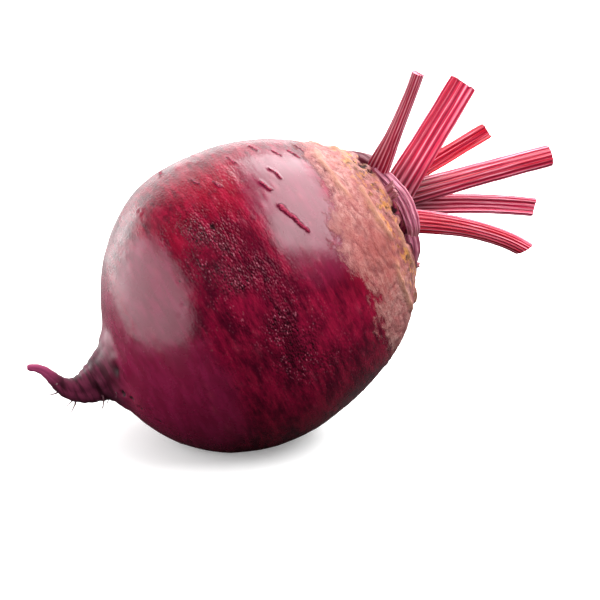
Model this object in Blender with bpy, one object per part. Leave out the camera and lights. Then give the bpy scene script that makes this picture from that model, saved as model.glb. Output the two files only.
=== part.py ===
"""A whole beetroot with its tap root on and its leaf stalks cut short, lying on a table.

The globe, its corky shoulder and the tap root grew as one body.  Six leaf stalks stand in the crown,
and stubs of older leaves ring them.  Every piece is modelled on an upright beetroot, in metres, whose
axis is Z with the crown up and whose origin is the middle of its widest ring.  An empty then tips the
beetroot over on its belly, the +X side of that upright frame.
"""

import math

import bmesh
import bpy
from mathutils import Matrix, Vector, noise

MM = 0.001

# How it lies
TIP_OVER = math.radians(64)  # from upright, so that the crown stays 26 degrees above the table
REST_SPOT_RADIUS = 12 * MM  # the flat spot that the belly rests on
JOINT_GAP = 0.3 * MM  # between pieces that touch

# Globe: a half ball towards the tap root and a longer half towards the crown
GLOBE_RADIUS = 42.5 * MM
SHOULDER_LENGTH = 54 * MM
RIM_RADIUS = 20.3 * MM  # where the shoulder ends at the crown
BELLY_SKEW = 2.2 * MM  # how far the belly is pushed towards the tap root, and the back away from it
BACK_SKEW = 3.9 * MM
CROWN_OUTLINE = [(0, 51.4), (6, 51.2), (11, 50.4), (14.6, 49.2), (16.8, 47.9), (18.7, 49.0)]  # radius, height
CROWN_OUTLINE = [(radius * MM, height * MM) for radius, height in CROWN_OUTLINE]
CROWN_TILT = 0.03  # how much the crown's face rises towards the back

# Tap root: height, sideways to the back, radius, from the globe's underside to the tip
TAIL_STATIONS = [
    (-40.3, 0.0, 13.5),
    (-42.4, 0.0, 10.0),
    (-44.2, 0.1, 7.6),
    (-46.5, 0.2, 6.2),
    (-49.4, 0.3, 5.0),
    (-53.2, 1.3, 3.7),
    (-55.9, 4.2, 2.6),
    (-56.9, 7.7, 1.8),
    (-57.8, 10.8, 1.45),
    (-59.3, 13.1, 1.2),
    (-61.7, 14.6, 0.95),
]
TAIL_STATIONS = [tuple(size * MM for size in station) for station in TAIL_STATIONS]
TAIL_FOLD_RINGS = 3.1  # rings of the mesh from one fold across the tail to the next
TAIL_FOLD_SHARE = 0.035
FURROW_DEPTH = 0.9 * MM  # the two rows that side roots grow from

# Old leaf scars round the shoulder, in the golden angle's spiral
SCAR_COUNT = 13
SCAR_FIRST_RADIUS = 21.5 * MM
SCAR_LAST_RADIUS = 31 * MM
SCAR_HEIGHT = 0.75 * MM
SCAR_THICKNESS = 1.1 * MM
SCAR_HALF_ANGLE = math.radians(24)
GOLDEN_ANGLE = math.pi * (3 - math.sqrt(5))

# Side roots: share of the way down the tail, bearing from the belly in degrees, length
ROOTLETS = [
    (0.22, 20, 3.4),
    (0.34, -62, 4.2),
    (0.40, 84, 6.5),
    (0.52, -20, 3.0),
    (0.58, 40, 5.0),
    (0.70, -85, 3.6),
]
ROOTLET_RADIUS = 0.42 * MM
ROOTLET_SINK = 1.2 * MM

# Leaf stalks: foot (x, y), tip (x, y, z), width at foot and tip, thickness, bearing that the outer
# face looks to, slope of the cut, and how far the middle bows towards the axis
STALKS = {
    "leaf_stalk_top": ((-11.4, -5.2), (-38.6, -17.0, 71.0), 8.4, 3.6, 3.0, 213, 0.15, 2.0),
    "leaf_stalk_broad": ((-1.5, -4.2), (-21.5, 6.0, 87.6), 10.8, 8.0, 4.0, 90, -0.1, 0.0),
    "leaf_stalk_back": ((-2.6, 8.0), (0.2, 16.0, 91.2), 5.8, 5.3, 3.8, 95, -0.25, 0.0),
    "leaf_stalk_long": ((-3.6, 3.0), (14.3, 8.6, 103.7), 8.0, 6.8, 4.0, 270, 0.1, 1.5),
    "leaf_stalk_low": ((0.4, 12.3), (28.5, 13.0, 94.0), 6.2, 5.6, 4.0, 85, 0.1, 5.0),
    "leaf_stalk_front": ((-3.2, -12.8), (23.8, -18.0, 77.6), 7.2, 4.8, 4.0, 270, -0.6, 7.5),
}
STALK_FOOT_HEIGHT = 46.5 * MM
STALK_RIBS = 9
STALK_RIB_DEPTH = 0.28 * MM
STALK_TAPER_SHARE = 0.42  # of a stalk's length, over which its foot narrows

# Stubs of older leaves: foot (x, y), length, width, thickness, lean outwards in degrees
STUBS = {
    "leaf_stub_1": ((-17.3, 1.8), 2.8, 6.4, 2.2, 50),
    "leaf_stub_2": ((-10.4, -14.4), 3.2, 5.6, 2.0, 55),
    "leaf_stub_3": ((-8.9, -11.9), 4.2, 4.6, 1.8, 5),
    "leaf_stub_4": ((5.8, -14.8), 2.2, 8.0, 2.2, 4),
    "leaf_stub_5": ((16.0, -3.0), 1.8, 8.0, 2.4, 16),
    "leaf_stub_6": ((13.4, 9.4), 3.2, 7.4, 2.4, 26),
    "leaf_stub_7": ((-12.6, 11.4), 4.2, 8.0, 2.6, 22),
}

# Hollows where leaf bases have rotted out of the crown: x, y, radius, depth
HOLLOWS = [(-18.2, -4.6, 2.8, 1.8), (0.4, -17.9, 3.0, 1.8), (2.0, 17.4, 3.0, 1.4)]

# Mesh density
ROOT_SIDES = 60
CROWN_RINGS = 9
GLOBE_RINGS = 28
TAIL_RINGS = 28
STALK_SIDES = 36
STALK_RINGS = 9
STUB_SIDES = 20
STUB_RINGS = 4
ROOTLET_SIDES = 5
ROOTLET_RINGS = 6

SKIN_COLOUR = (0.20, 0.012, 0.045)
STALK_COLOUR = (0.50, 0.012, 0.075)
STUB_COLOUR = (0.42, 0.10, 0.12)


def smooth(low, high, value):
    """0 below low, 1 above high, and a smooth step between them."""
    share = min(max((value - low) / (high - low), 0.0), 1.0)
    return share * share * (3 - 2 * share)


def through(points, share):
    """The point at this share of a Catmull-Rom curve through the points, each a tuple of numbers."""
    at = min(max(share, 0.0), 1.0) * (len(points) - 1)
    first = min(int(at), len(points) - 2)
    t = at - first
    near = [points[min(max(first + step, 0), len(points) - 1)] for step in (-1, 0, 1, 2)]
    return tuple(
        0.5 * (2 * b + (c - a) * t + (2 * a - 5 * b + 4 * c - d) * t**2 + (3 * b - a - 3 * c + d) * t**3)
        for a, b, c, d in zip(*near)
    )


def material(name, colour, roughness):
    made = bpy.data.materials.new(name)
    made.use_nodes = True
    shader = made.node_tree.nodes["Principled BSDF"]
    shader.inputs["Base Color"].default_value = (*colour, 1.0)
    shader.inputs["Roughness"].default_value = roughness
    return made


def wrapped_ball(name, sides, rings, place, finish, collection):
    """A UV sphere whose vertices are carried to place(ring, angle); ring 0 is its upper pole."""
    mesh = bpy.data.meshes.new(name)
    ball = bmesh.new()
    bmesh.ops.create_uvsphere(ball, u_segments=sides, v_segments=rings, radius=1.0)
    for vertex in ball.verts:
        ring = round(rings * math.acos(max(-1.0, min(1.0, vertex.co.z))) / math.pi)
        vertex.co = place(ring, math.atan2(vertex.co.y, vertex.co.x))
    ball.to_mesh(mesh)
    ball.free()
    mesh.materials.append(finish)
    mesh.shade_smooth()
    piece = bpy.data.objects.new(name, mesh)
    collection.objects.link(piece)
    return piece


def globe_radius(height):
    """Radius of the globe at this height above or below its widest ring."""
    length = SHOULDER_LENGTH if height > 0 else GLOBE_RADIUS
    return GLOBE_RADIUS * math.sqrt(max(0.0, 1 - (height / length) ** 2))


def root_stations():
    """Each ring of the root, from the crown's middle to the tail's tip: centre, tilt and radius."""
    stations = []
    for ring in range(CROWN_RINGS):
        radius, height = through(CROWN_OUTLINE, ring / (CROWN_RINGS - 1))
        stations.append((Vector((0, 0, height)), 0.0, radius))
    top = math.acos(RIM_RADIUS / GLOBE_RADIUS)
    bottom = -math.acos(TAIL_STATIONS[0][2] / GLOBE_RADIUS)
    for ring in range(GLOBE_RINGS):
        turn = top + (bottom - top) * ring / GLOBE_RINGS
        height = math.sin(turn) * (SHOULDER_LENGTH if turn > 0 else GLOBE_RADIUS)
        stations.append((Vector((0, 0, height)), 0.0, globe_radius(height)))
    for ring in range(TAIL_RINGS):
        share = ring / (TAIL_RINGS - 1)
        height, back, radius = through(TAIL_STATIONS, share)
        later = through(TAIL_STATIONS, share + 0.02)
        sooner = through(TAIL_STATIONS, share - 0.02)
        tilt = math.atan2(later[1] - sooner[1], sooner[0] - later[0])
        stations.append((Vector((-back, 0, height)), tilt, radius))
    height, back, radius = TAIL_STATIONS[-1]
    stations.append((Vector((-back, 0, height)), tilt, 0.0))
    return stations


def scar_relief(radius, height, bearing):
    """How far the leaf scars stand out of the shoulder here."""
    if height < 0:
        return 0.0
    relief = 0.0
    for scar in range(SCAR_COUNT):
        out = SCAR_FIRST_RADIUS + (SCAR_LAST_RADIUS - SCAR_FIRST_RADIUS) * scar / (SCAR_COUNT - 1)
        away = abs(math.remainder(bearing - scar * GOLDEN_ANGLE, 2 * math.pi))
        bow = SCAR_THICKNESS * (away / SCAR_HALF_ANGLE) ** 2  # the ends of a scar bend to the crown
        ridge = math.exp(-(((radius - out + bow) / SCAR_THICKNESS) ** 2))
        relief += ridge * (1 - smooth(0.6, 1.0, away / SCAR_HALF_ANGLE))
    return SCAR_HEIGHT * relief


def root_surface(stations):
    """A place function for the root, which adds what isn't round to its stations."""

    def place(ring, angle):
        centre, tilt, radius = stations[ring]
        height = centre.z
        belly = math.cos(angle)
        on_globe = smooth(-0.044, -0.030, height)
        radius *= 1 + on_globe * (0.012 * math.cos(2 * angle + 0.6) + 0.007 * math.cos(3 * angle + 2.0))
        radius += scar_relief(radius, height, angle)
        in_tail = 1 - smooth(-0.048, -0.042, height)
        radius *= 1 + in_tail * TAIL_FOLD_SHARE * math.sin(2 * math.pi * ring / TAIL_FOLD_RINGS + belly)
        row = math.exp(-((math.remainder(angle - math.pi / 2, math.pi) / 0.30) ** 2))
        below = smooth(0.020, 0.036, -height) * min(1.0, radius / GLOBE_RADIUS * 6)
        radius -= FURROW_DEPTH * row * below
        lower = smooth(0.0, 0.030, -height) * (1 - smooth(0.039, 0.046, -height))
        rise = -(BELLY_SKEW if belly > 0 else BACK_SKEW) * belly * lower
        rise -= CROWN_TILT * radius * belly * smooth(0.038, 0.049, height)
        across = Vector((math.cos(tilt), 0, -math.sin(tilt)))
        point = centre + radius * (math.cos(angle) * across + math.sin(angle) * Vector((0, 1, 0)))
        if height > 0.04:
            point.z -= hollow_depth(point)
        swell = noise.noise(point / (24 * MM)) * 0.7 * MM * on_globe * min(1.0, radius / RIM_RADIUS)
        return point + point.normalized() * swell + Vector((0, 0, rise))

    return place


def hollow_depth(point):
    """How deep the rotted hollows of the crown are here."""
    depth = 0.0
    for x, y, radius, deepest in HOLLOWS:
        away = (point.xy - Vector((x, y)) * MM).length / (radius * MM)
        depth += deepest * MM * math.exp(-(away**4))
    return depth


def crown_height(radius):
    """Height of the crown's face at this distance from the axis."""
    pairs = list(zip(CROWN_OUTLINE, CROWN_OUTLINE[1:]))
    for (inner, top), (outer, bottom) in pairs:
        if radius <= outer:
            return top + (bottom - top) * (radius - inner) / (outer - inner)
    return CROWN_OUTLINE[-1][1]


def rootlet_surface(stations, share, bearing, length):
    """A place function for one side root, which tapers and droops towards the tail's tip."""
    first = CROWN_RINGS + GLOBE_RINGS
    centre, tilt, radius = stations[first + round(share * (TAIL_RINGS - 1))]
    down = Vector((-math.sin(tilt), 0, -math.cos(tilt)))
    across = Vector((math.cos(tilt), 0, -math.sin(tilt)))
    out = math.cos(bearing) * across + math.sin(bearing) * Vector((0, 1, 0))
    side = down.cross(out)
    start = centre + out * (radius - ROOTLET_SINK)

    def place(ring, angle):
        reach = min(max((ring - 1) / (ROOTLET_RINGS - 2), 0.0), 1.0)
        thick = 0.0 if ring in (0, ROOTLET_RINGS) else ROOTLET_RADIUS * (1 - 0.35 * reach)
        middle = start + out * (length + ROOTLET_SINK) * reach + down * length * 0.45 * reach**2
        return middle + thick * (math.cos(angle) * down + math.sin(angle) * side)

    return place


def petiole_surface(foot, tip, bow, widths, thickness, facing, slope, rings, ribs, grow=0.0):
    """A place function for a leaf stalk: ribbed outside, hollowed like a gutter on its inner side."""
    bend = (foot + tip) / 2 + Vector((0, 0, bow))
    outward = Vector((math.cos(facing), math.sin(facing), 0))
    foot_width, tip_width = widths
    taper_length = STALK_TAPER_SHARE * (tip - foot).length

    def place(ring, angle):
        share = min(max((ring - 1) / (rings - 2), 0.0), 1.0)
        middle = foot * (1 - share) ** 2 + bend * 2 * share * (1 - share) + tip * share**2
        run = ((bend - foot) * (1 - share) + (tip - bend) * share).normalized()
        outer = (outward - run * outward.dot(run)).normalized()
        side = run.cross(outer)
        if ring == 0:
            return middle - run * grow
        if ring == rings:
            return middle + run * grow
        near_foot = math.exp(-(((middle - foot).length / taper_length) ** 2))
        half_width = (tip_width + (foot_width - tip_width) * near_foot) / 2
        rise = math.sin(angle)
        if rise < 0:
            rise *= 0.75 * (1 - 0.95 * abs(rise) ** 3 * (1 - 0.5 * near_foot))
        rib = STALK_RIB_DEPTH * math.cos(ribs * angle) * smooth(0, 1, share * 8) if ribs else 0.0
        across = (half_width + rib + grow) * math.cos(angle)
        up = (thickness / 2 + rib) * rise + grow * math.sin(angle)
        end = {1: -grow, rings - 1: slope * across + grow}.get(ring, 0.0)
        return middle + side * across + outer * up + run * end

    return place


def petiole(name, spec, finish, collection, grow=0.0):
    """A leaf stalk from its row in STALKS, or with grow the cutter of its socket."""
    (x, y), tip, foot_width, tip_width, thickness, facing, slope, bow = spec
    foot = Vector((x * MM, y * MM, STALK_FOOT_HEIGHT))
    tip = Vector(tip) * MM
    widths = (foot_width * MM, tip_width * MM)
    rings = STALK_RINGS + 1
    surface = petiole_surface(
        foot, tip, bow * MM, widths, thickness * MM, math.radians(facing), slope, rings, STALK_RIBS, grow
    )
    return wrapped_ball(name, STALK_SIDES, rings, surface, finish, collection)


def stub(name, spec, finish, collection, grow=0.0):
    """A stub of an old leaf, standing near the crown's edge and leaning outwards."""
    (x, y), length, width, thickness, lean = spec
    out = Vector((x, y, 0)).normalized()
    foot = Vector((x, y, 0)) * MM
    foot.z = crown_height(foot.length) - 2 * MM
    way = Vector((0, 0, 1)) * math.cos(math.radians(lean)) + out * math.sin(math.radians(lean))
    tip = foot + way * (length + 2) * MM
    widths = (width * MM, width * 0.86 * MM)
    rings = STUB_RINGS + 1
    surface = petiole_surface(
        foot, tip, 0.0, widths, thickness * MM, math.atan2(y, x), -0.2, rings, 0, grow
    )
    return wrapped_ball(name, STUB_SIDES, rings, surface, finish, collection)


def apply_modifiers(piece):
    """Turns a piece's evaluated shape into its own mesh."""
    shown = piece.evaluated_get(bpy.context.evaluated_depsgraph_get())
    mesh = bpy.data.meshes.new_from_object(shown)
    piece.modifiers.clear()
    piece.data = mesh


def join(piece, collection):
    """Fuses every object of a collection into a piece, and removes them."""
    union = piece.modifiers.new("join", "BOOLEAN")
    union.operand_type = "COLLECTION"
    union.collection = collection
    union.operation = "UNION"
    apply_modifiers(piece)
    for part in list(collection.objects):
        bpy.data.objects.remove(part)
    bpy.data.collections.remove(collection)


def flatten_belly(piece, height):
    """Cuts the belly flat where it meets the table, at this height below the origin."""
    down = Matrix.Rotation(-TIP_OVER, 3, "Y") @ Vector((0, 0, -1))
    cut = bmesh.new()
    cut.from_mesh(piece.data)
    everything = cut.verts[:] + cut.edges[:] + cut.faces[:]
    bmesh.ops.bisect_plane(
        cut, geom=everything, dist=1e-6, plane_co=down * height, plane_no=down, clear_outer=True
    )
    rim = [edge for edge in cut.edges if edge.is_boundary]
    bmesh.ops.edgeloop_fill(cut, edges=rim)
    bmesh.ops.recalc_face_normals(cut, faces=cut.faces[:])
    cut.to_mesh(piece.data)
    cut.free()


def new_collection(name, parent):
    made = bpy.data.collections.new(name)
    parent.children.link(made)
    return made


def build_root(beetroot, finish):
    """Globe, crown and tap root in one body, with its side roots fused on and its belly flat."""
    stations = root_stations()
    root = wrapped_ball("root", ROOT_SIDES, len(stations) - 1, root_surface(stations), finish, beetroot)
    rootlets = new_collection("rootlets", beetroot)
    for number, (share, bearing, length) in enumerate(ROOTLETS, 1):
        surface = rootlet_surface(stations, share, math.radians(bearing), length * MM)
        wrapped_ball(f"rootlet_{number}", ROOTLET_SIDES, ROOTLET_RINGS, surface, finish, rootlets)
    join(root, rootlets)
    flatten_belly(root, REST_HEIGHT)
    return root


def cut_sockets(root, scene, finish):
    """Sinks a close socket in the crown for the foot of each stalk and stub."""
    sockets = new_collection("sockets", scene)
    for name, spec in STALKS.items():
        petiole(f"socket_{name}", spec, finish, sockets, JOINT_GAP)
    for name, spec in STUBS.items():
        stub(f"socket_{name}", spec, finish, sockets, JOINT_GAP)
    for cutter in sockets.objects:
        cutter.hide_render = True
        cutter.display_type = "WIRE"
    cut = root.modifiers.new("sockets", "BOOLEAN")
    cut.operand_type = "COLLECTION"
    cut.collection = sockets
    cut.operation = "DIFFERENCE"
    return sockets


REST_HEIGHT = math.sqrt(GLOBE_RADIUS**2 - REST_SPOT_RADIUS**2)

for old in list(bpy.data.objects):
    bpy.data.objects.remove(old)
scene_collection = bpy.context.scene.collection
beetroot = new_collection("beetroot", scene_collection)
skin = material("skin", SKIN_COLOUR, 0.35)
stalk_skin = material("leaf stalk", STALK_COLOUR, 0.4)
dry_leaf = material("dry leaf base", STUB_COLOUR, 0.7)

root = build_root(beetroot, skin)
pieces = [root]
pieces += [petiole(name, spec, stalk_skin, beetroot) for name, spec in STALKS.items()]
pieces += [stub(name, spec, dry_leaf, beetroot) for name, spec in STUBS.items()]
sockets = cut_sockets(root, scene_collection, skin)

# Tip the beetroot on its belly, and centre it over the origin
lie = bpy.data.objects.new("lie", None)
beetroot.objects.link(lie)
lie.rotation_euler.y = TIP_OVER
turned = Matrix.Rotation(TIP_OVER, 4, "Y")
corners = [turned @ vertex.co for piece in pieces for vertex in piece.data.vertices]
middle_x = (min(c.x for c in corners) + max(c.x for c in corners)) / 2
middle_y = (min(c.y for c in corners) + max(c.y for c in corners)) / 2
lie.location = (-middle_x, -middle_y, REST_HEIGHT)
for piece in pieces + list(sockets.objects):
    piece.parent = lie
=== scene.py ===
"""Looks of a whole beetroot lying on a table, its tap root on and its leaf stalks cut short."""

import math
import random

import bmesh
import bpy
import numpy as np
from mathutils import Matrix, Vector, noise


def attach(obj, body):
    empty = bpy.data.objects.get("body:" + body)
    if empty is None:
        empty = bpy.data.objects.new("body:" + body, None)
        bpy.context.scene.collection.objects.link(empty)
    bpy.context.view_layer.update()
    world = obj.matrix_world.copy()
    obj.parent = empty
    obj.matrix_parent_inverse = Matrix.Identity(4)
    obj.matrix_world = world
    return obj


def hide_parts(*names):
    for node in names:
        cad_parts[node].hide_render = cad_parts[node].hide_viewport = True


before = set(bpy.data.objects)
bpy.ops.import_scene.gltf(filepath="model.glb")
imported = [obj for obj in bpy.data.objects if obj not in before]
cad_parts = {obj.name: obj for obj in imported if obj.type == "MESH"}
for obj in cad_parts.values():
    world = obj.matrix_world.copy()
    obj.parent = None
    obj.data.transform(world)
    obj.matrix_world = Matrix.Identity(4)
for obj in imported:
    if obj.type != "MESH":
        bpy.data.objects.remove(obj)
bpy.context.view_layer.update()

# Swollen root, with its corky shoulder, crown, tap root and side roots.
# Living flesh under a thin wine-red skin, which turns to dry tan cork towards the leaves.
# It is one grown body: rings extruded from the crown to the tail, then carved like clay.

MM = 0.001
TIP_OVER = math.radians(64)  # the root is shaped standing up, then laid on its belly
LIES_AT = Vector((-19.212, -0.431, 40.771)) * MM
UPRIGHT_TO_TABLE = Matrix.Translation(LIES_AT) @ Matrix.Rotation(TIP_OVER, 4, "Y")

GLOBE_RADIUS = 42.5 * MM
SHOULDER_LENGTH = 54 * MM
RIM_RADIUS = 20.3 * MM
BELLY_HEIGHT = -40.771 * MM  # of the table below the axis, where the belly is flat
CROWN_OUTLINE = [  # radius, height in mm
    (0.6, 51.4), (6, 51.2), (11, 50.4), (14.6, 49.2), (16.8, 47.9), (18.7, 49.0),
]
TAIL_STATIONS = [  # height, how far it bends back, radius in mm
    (-40.3, 0.0, 13.5),
    (-42.4, 0.0, 10.0),
    (-44.2, 0.1, 7.6),
    (-46.5, 0.2, 6.2),
    (-49.4, 0.3, 5.0),
    (-53.2, 1.3, 3.7),
    (-55.9, 4.2, 2.6),
    (-56.9, 7.7, 1.8),
    (-57.8, 10.8, 1.45),
    (-59.3, 13.1, 1.2),
    (-61.7, 14.6, 0.95),
]
ROOT_SIDES = 88
CROWN_RINGS = 9
UPPER_RINGS = 28
LOWER_RINGS = 16
GLOBE_RINGS = UPPER_RINGS + LOWER_RINGS
TAIL_RINGS = 13
STALK_FEET = {  # x and y on the crown in mm
    "leaf_stalk_top": (-11.4, -5.2),
    "leaf_stalk_broad": (-1.1, -4.2),
    "leaf_stalk_back": (-2.6, 8.0),
    "leaf_stalk_long": (-3.6, 3.0),
    "leaf_stalk_low": (0.4, 12.3),
    "leaf_stalk_front": (-3.2, -12.8),
}
HOLLOWS = [  # x and y on the crown, radius and depth in mm
    (-18.2, -4.6, 2.8, 1.8), (0.4, -17.9, 3.0, 1.8), (2.0, 17.4, 3.0, 1.4),
]


def through(points, share):
    """The point at this share of a Catmull-Rom curve through the points, each a tuple of numbers."""
    at = min(max(share, 0.0), 1.0) * (len(points) - 1)
    first = min(int(at), len(points) - 2)
    t = at - first
    near = [points[min(max(first + step, 0), len(points) - 1)] for step in (-1, 0, 1, 2)]
    return tuple(
        0.5 * (2 * b + (c - a) * t + (2 * a - 5 * b + 4 * c - d) * t**2 + (3 * b - a - 3 * c + d) * t**3)
        for a, b, c, d in zip(*near)
    )


def root_stations():
    """Each ring of the root, from the crown's middle to the tail's tip: centre, tilt, radius."""
    stations = []
    for ring in range(CROWN_RINGS):
        radius, height = through(CROWN_OUTLINE, ring / (CROWN_RINGS - 1))
        stations.append((Vector((0, 0, height * MM)), 0.0, radius * MM))
    top = math.acos(RIM_RADIUS / GLOBE_RADIUS)
    bottom = -math.acos(TAIL_STATIONS[0][2] * MM / GLOBE_RADIUS)
    for ring in range(GLOBE_RINGS):  # closer together above the widest one, where the skin is rougher
        if ring < UPPER_RINGS:
            turn = top * (1 - ring / UPPER_RINGS)
        else:
            turn = bottom * (ring - UPPER_RINGS) / LOWER_RINGS
        height = math.sin(turn) * (SHOULDER_LENGTH if turn > 0 else GLOBE_RADIUS)
        stations.append((Vector((0, 0, height)), 0.0, GLOBE_RADIUS * math.cos(turn)))
    for ring in range(TAIL_RINGS):
        share = ring / (TAIL_RINGS - 1)
        height, back, radius = through(TAIL_STATIONS, share)
        later = through(TAIL_STATIONS, share + 0.02)
        sooner = through(TAIL_STATIONS, share - 0.02)
        tilt = math.atan2(later[1] - sooner[1], sooner[0] - later[0])
        stations.append((Vector((-back, 0, height)) * MM, tilt, radius * MM))
    return stations


def mark(piece, name, values):
    """Keeps a number for each vertex, for the shaping and for the material."""
    layer = piece.data.attributes.get(name) or piece.data.attributes.new(name, "FLOAT", "POINT")
    layer.data.foreach_set("value", np.asarray(values, np.float32))


def marks(piece, name):
    """The number kept for each vertex under this name."""
    values = np.zeros(len(piece.data.vertices), np.float32)
    piece.data.attributes[name].data.foreach_get("value", values)
    return values.astype(float)


def points_of(piece):
    """Where each vertex is, as rows of x, y and z."""
    flat = np.zeros(len(piece.data.vertices) * 3)
    piece.data.vertices.foreach_get("co", flat)
    return flat.reshape(-1, 3)


def move_points(piece, points):
    """Puts each vertex at its row of x, y and z."""
    piece.data.vertices.foreach_set("co", np.ascontiguousarray(points).ravel())
    piece.data.update()


def normals_of(piece):
    """Which way the skin faces at each vertex."""
    flat = np.zeros(len(piece.data.vertices) * 3, np.float32)
    piece.data.vertex_normals.foreach_get("vector", flat)
    return flat.reshape(-1, 3).astype(float)


def start_piece(name):
    """Takes over the primitive that was just added, and puts its object at the origin."""
    piece = bpy.context.object
    piece.name = piece.data.name = name
    bpy.ops.object.transform_apply(location=True, rotation=True, scale=True)
    return piece


def mark_selected(piece, name, value):
    """Keeps a number for each vertex that is selected in edit mode."""
    clay = bmesh.from_edit_mesh(piece.data)
    layer = clay.verts.layers.float[name]
    for vertex in clay.verts:
        if vertex.select:
            vertex[layer] = value


def subdivide_smooth(piece, levels):
    """Rounds the piece by subdivision, and applies it."""
    finer = piece.modifiers.new("finer", "SUBSURF")
    finer.levels = finer.render_levels = levels
    bpy.context.view_layer.objects.active = piece
    bpy.ops.object.modifier_apply(modifier="finer")


def extruded_root(stations):
    """The plain root by operators: a disc at the crown's middle, extruded ring by ring to the tail."""
    centre, tilt, radius = stations[0]
    bpy.ops.object.select_all(action="DESELECT")
    bpy.ops.mesh.primitive_circle_add(vertices=ROOT_SIDES, radius=radius, fill_type="TRIFAN", location=centre)
    piece = start_piece("beet_root")
    spots = points_of(piece) - np.array(centre)
    size = np.maximum(np.hypot(spots[:, 0], spots[:, 1]), 1e-9)
    mark(piece, "cosine", spots[:, 0] / size)
    mark(piece, "sine", spots[:, 1] / size)
    mark(piece, "ring", np.zeros(len(spots)))
    bpy.ops.object.mode_set(mode="EDIT")
    bpy.ops.mesh.select_mode(type="VERT")
    bpy.ops.mesh.select_all(action="SELECT")
    bpy.ops.mesh.region_to_loop()
    for number in range(1, len(stations)):
        later_centre, later_tilt, later_radius = stations[number]
        bpy.ops.mesh.extrude_region_move(TRANSFORM_OT_translate={"value": later_centre - centre})
        grown = later_radius / radius
        bpy.ops.transform.resize(value=(grown,) * 3, center_override=later_centre)
        if later_tilt != tilt:
            bpy.ops.transform.rotate(value=tilt - later_tilt, orient_axis="Y", center_override=later_centre)
        centre, tilt, radius = later_centre, later_tilt, later_radius
        mark_selected(piece, "ring", number)
    bpy.ops.mesh.extrude_region_move(TRANSFORM_OT_translate={"value": (0, 0, 0)})
    bpy.ops.mesh.merge(type="CENTER")
    bpy.ops.mesh.select_all(action="SELECT")
    bpy.ops.mesh.normals_make_consistent(inside=False)
    bpy.ops.object.mode_set(mode="OBJECT")
    subdivide_smooth(piece, 2)
    return piece


def smooth(low, high, value):
    """0 below low, 1 above high, and a smooth step between them."""
    share = np.clip((value - low) / (high - low), 0.0, 1.0)
    return share * share * (3 - 2 * share)


def lumps(points, size):
    """Smooth noise from -1 to 1 at each point; size is one lump's, or its sizes along x, y and z."""
    return np.array([noise.noise(Vector(spot)) for spot in points / np.asarray(size)])


def creases(points, size):
    """1 along a net of thin lines, and 0 between them."""
    return np.exp(-((lumps(points, size) / 0.10) ** 2))


# Skin marks: height and bearing in degrees from the top side, the camera's side negative
SLITS = [  # from, to, half width in mm: corky slits that run round the root
    ((17.6, -30), (18.7, -35), 0.36),
    ((18.3, -43), (21.3, -57), 0.42),
    ((22.3, -24), (23.1, -31), 0.24),
    ((30.5, -12), (31.8, -20), 0.26),
    ((26.4, -11), (27.4, -17), 0.24),
    ((33.4, -6), (34.4, -13), 0.26),
    ((14.5, -8), (15.4, -14), 0.26),
    ((22.0, -3), (22.8, -9), 0.28),
    ((7.2, -20), (7.6, -24), 0.26),
    ((2.6, -12), (3.2, -17), 0.26),
    ((-3.0, 4), (-2.2, 11), 0.40),
    ((11.0, 24), (12.6, 40), 0.55),
    ((21.0, 62), (20.0, 74), 0.45),
    ((4.0, 95), (5.2, 112), 0.55),
    ((-12.0, 70), (-11.2, 80), 0.40),
    ((24.0, 130), (23.2, 146), 0.50),
]
RINGS_AND_PITS = [  # height, bearing, radius in mm, depth in mm (a ring's is negative)
    (-15.8, -7, 1.5, -0.35),
    (-0.2, -38, 0.9, 0.55),
    (-42.0, -105, 1.0, 0.9),
    (-40.4, -109, 0.9, 0.7),
    (-39.4, -118, 0.8, 0.8),
    (-37.5, -112, 0.5, 0.5),
    (-36.4, -122, 0.6, 0.5),
    (-17.0, -48, 0.5, 0.3),
    (-21.5, -60, 0.5, 0.3),
    (-19.0, -57, 0.4, 0.3),
    (2.0, 50, 1.2, -0.3),
    (-20.0, 100, 1.3, -0.3),
    (-8.0, 150, 0.9, 0.4),
]
SMOOTH_PATCHES = [  # height, bearing, half height, half width in mm: skin without grain
    (22.5, -45, 11.0, 22),
    (-25.5, -44, 11.5, 17),
    (-30.0, -100, 16, 26),
    (8.0, 88, 13, 16),
    (-24.0, 80, 12, 20),
    (20.0, 160, 10, 18),
]

RIM_CAVITIES = [  # height, bearing, radius and depth in mm: gaps where old leaf bases have rotted away
    (46.6, -24, 1.5, 1.2), (47.2, -31, 1.1, 1.0), (45.2, -20, 0.7, 0.5), (48.2, -68, 1.6, 1.2),
    (48.4, -84, 1.7, 1.3), (47.0, 40, 1.4, 1.0), (47.3, 128, 1.6, 1.0),
]
WARM_PATCHES = [  # height, bearing, radius in mm: where the red flesh shows through
    (6, -24, 15), (-8, -32, 9), (30, -63, 7), (38, -84, 15), (2, 60, 15), (-6, 140, 14), (36, 100, 18),
]
TAIL_KNOBS = [  # height, bearing, width and height in mm, how far out in mm (a fold's is negative, and is marked for painted shade)
    (-42.2, -66, 2.6, 1.3, -1.1),
    (-45.8, -82, 2.0, 1.2, 0.8),
    (-47.6, -92, 4.0, 0.5, -0.7),
]
CROWN_SCARS = 30  # leaves that the crown has borne, one every golden angle
SHOULDER_SCARS = 13
SCAR_HALF = math.radians(24)
SMALL_MARKS = 170
FOLD_SPACING = 2.4  # mm along the tail


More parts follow.
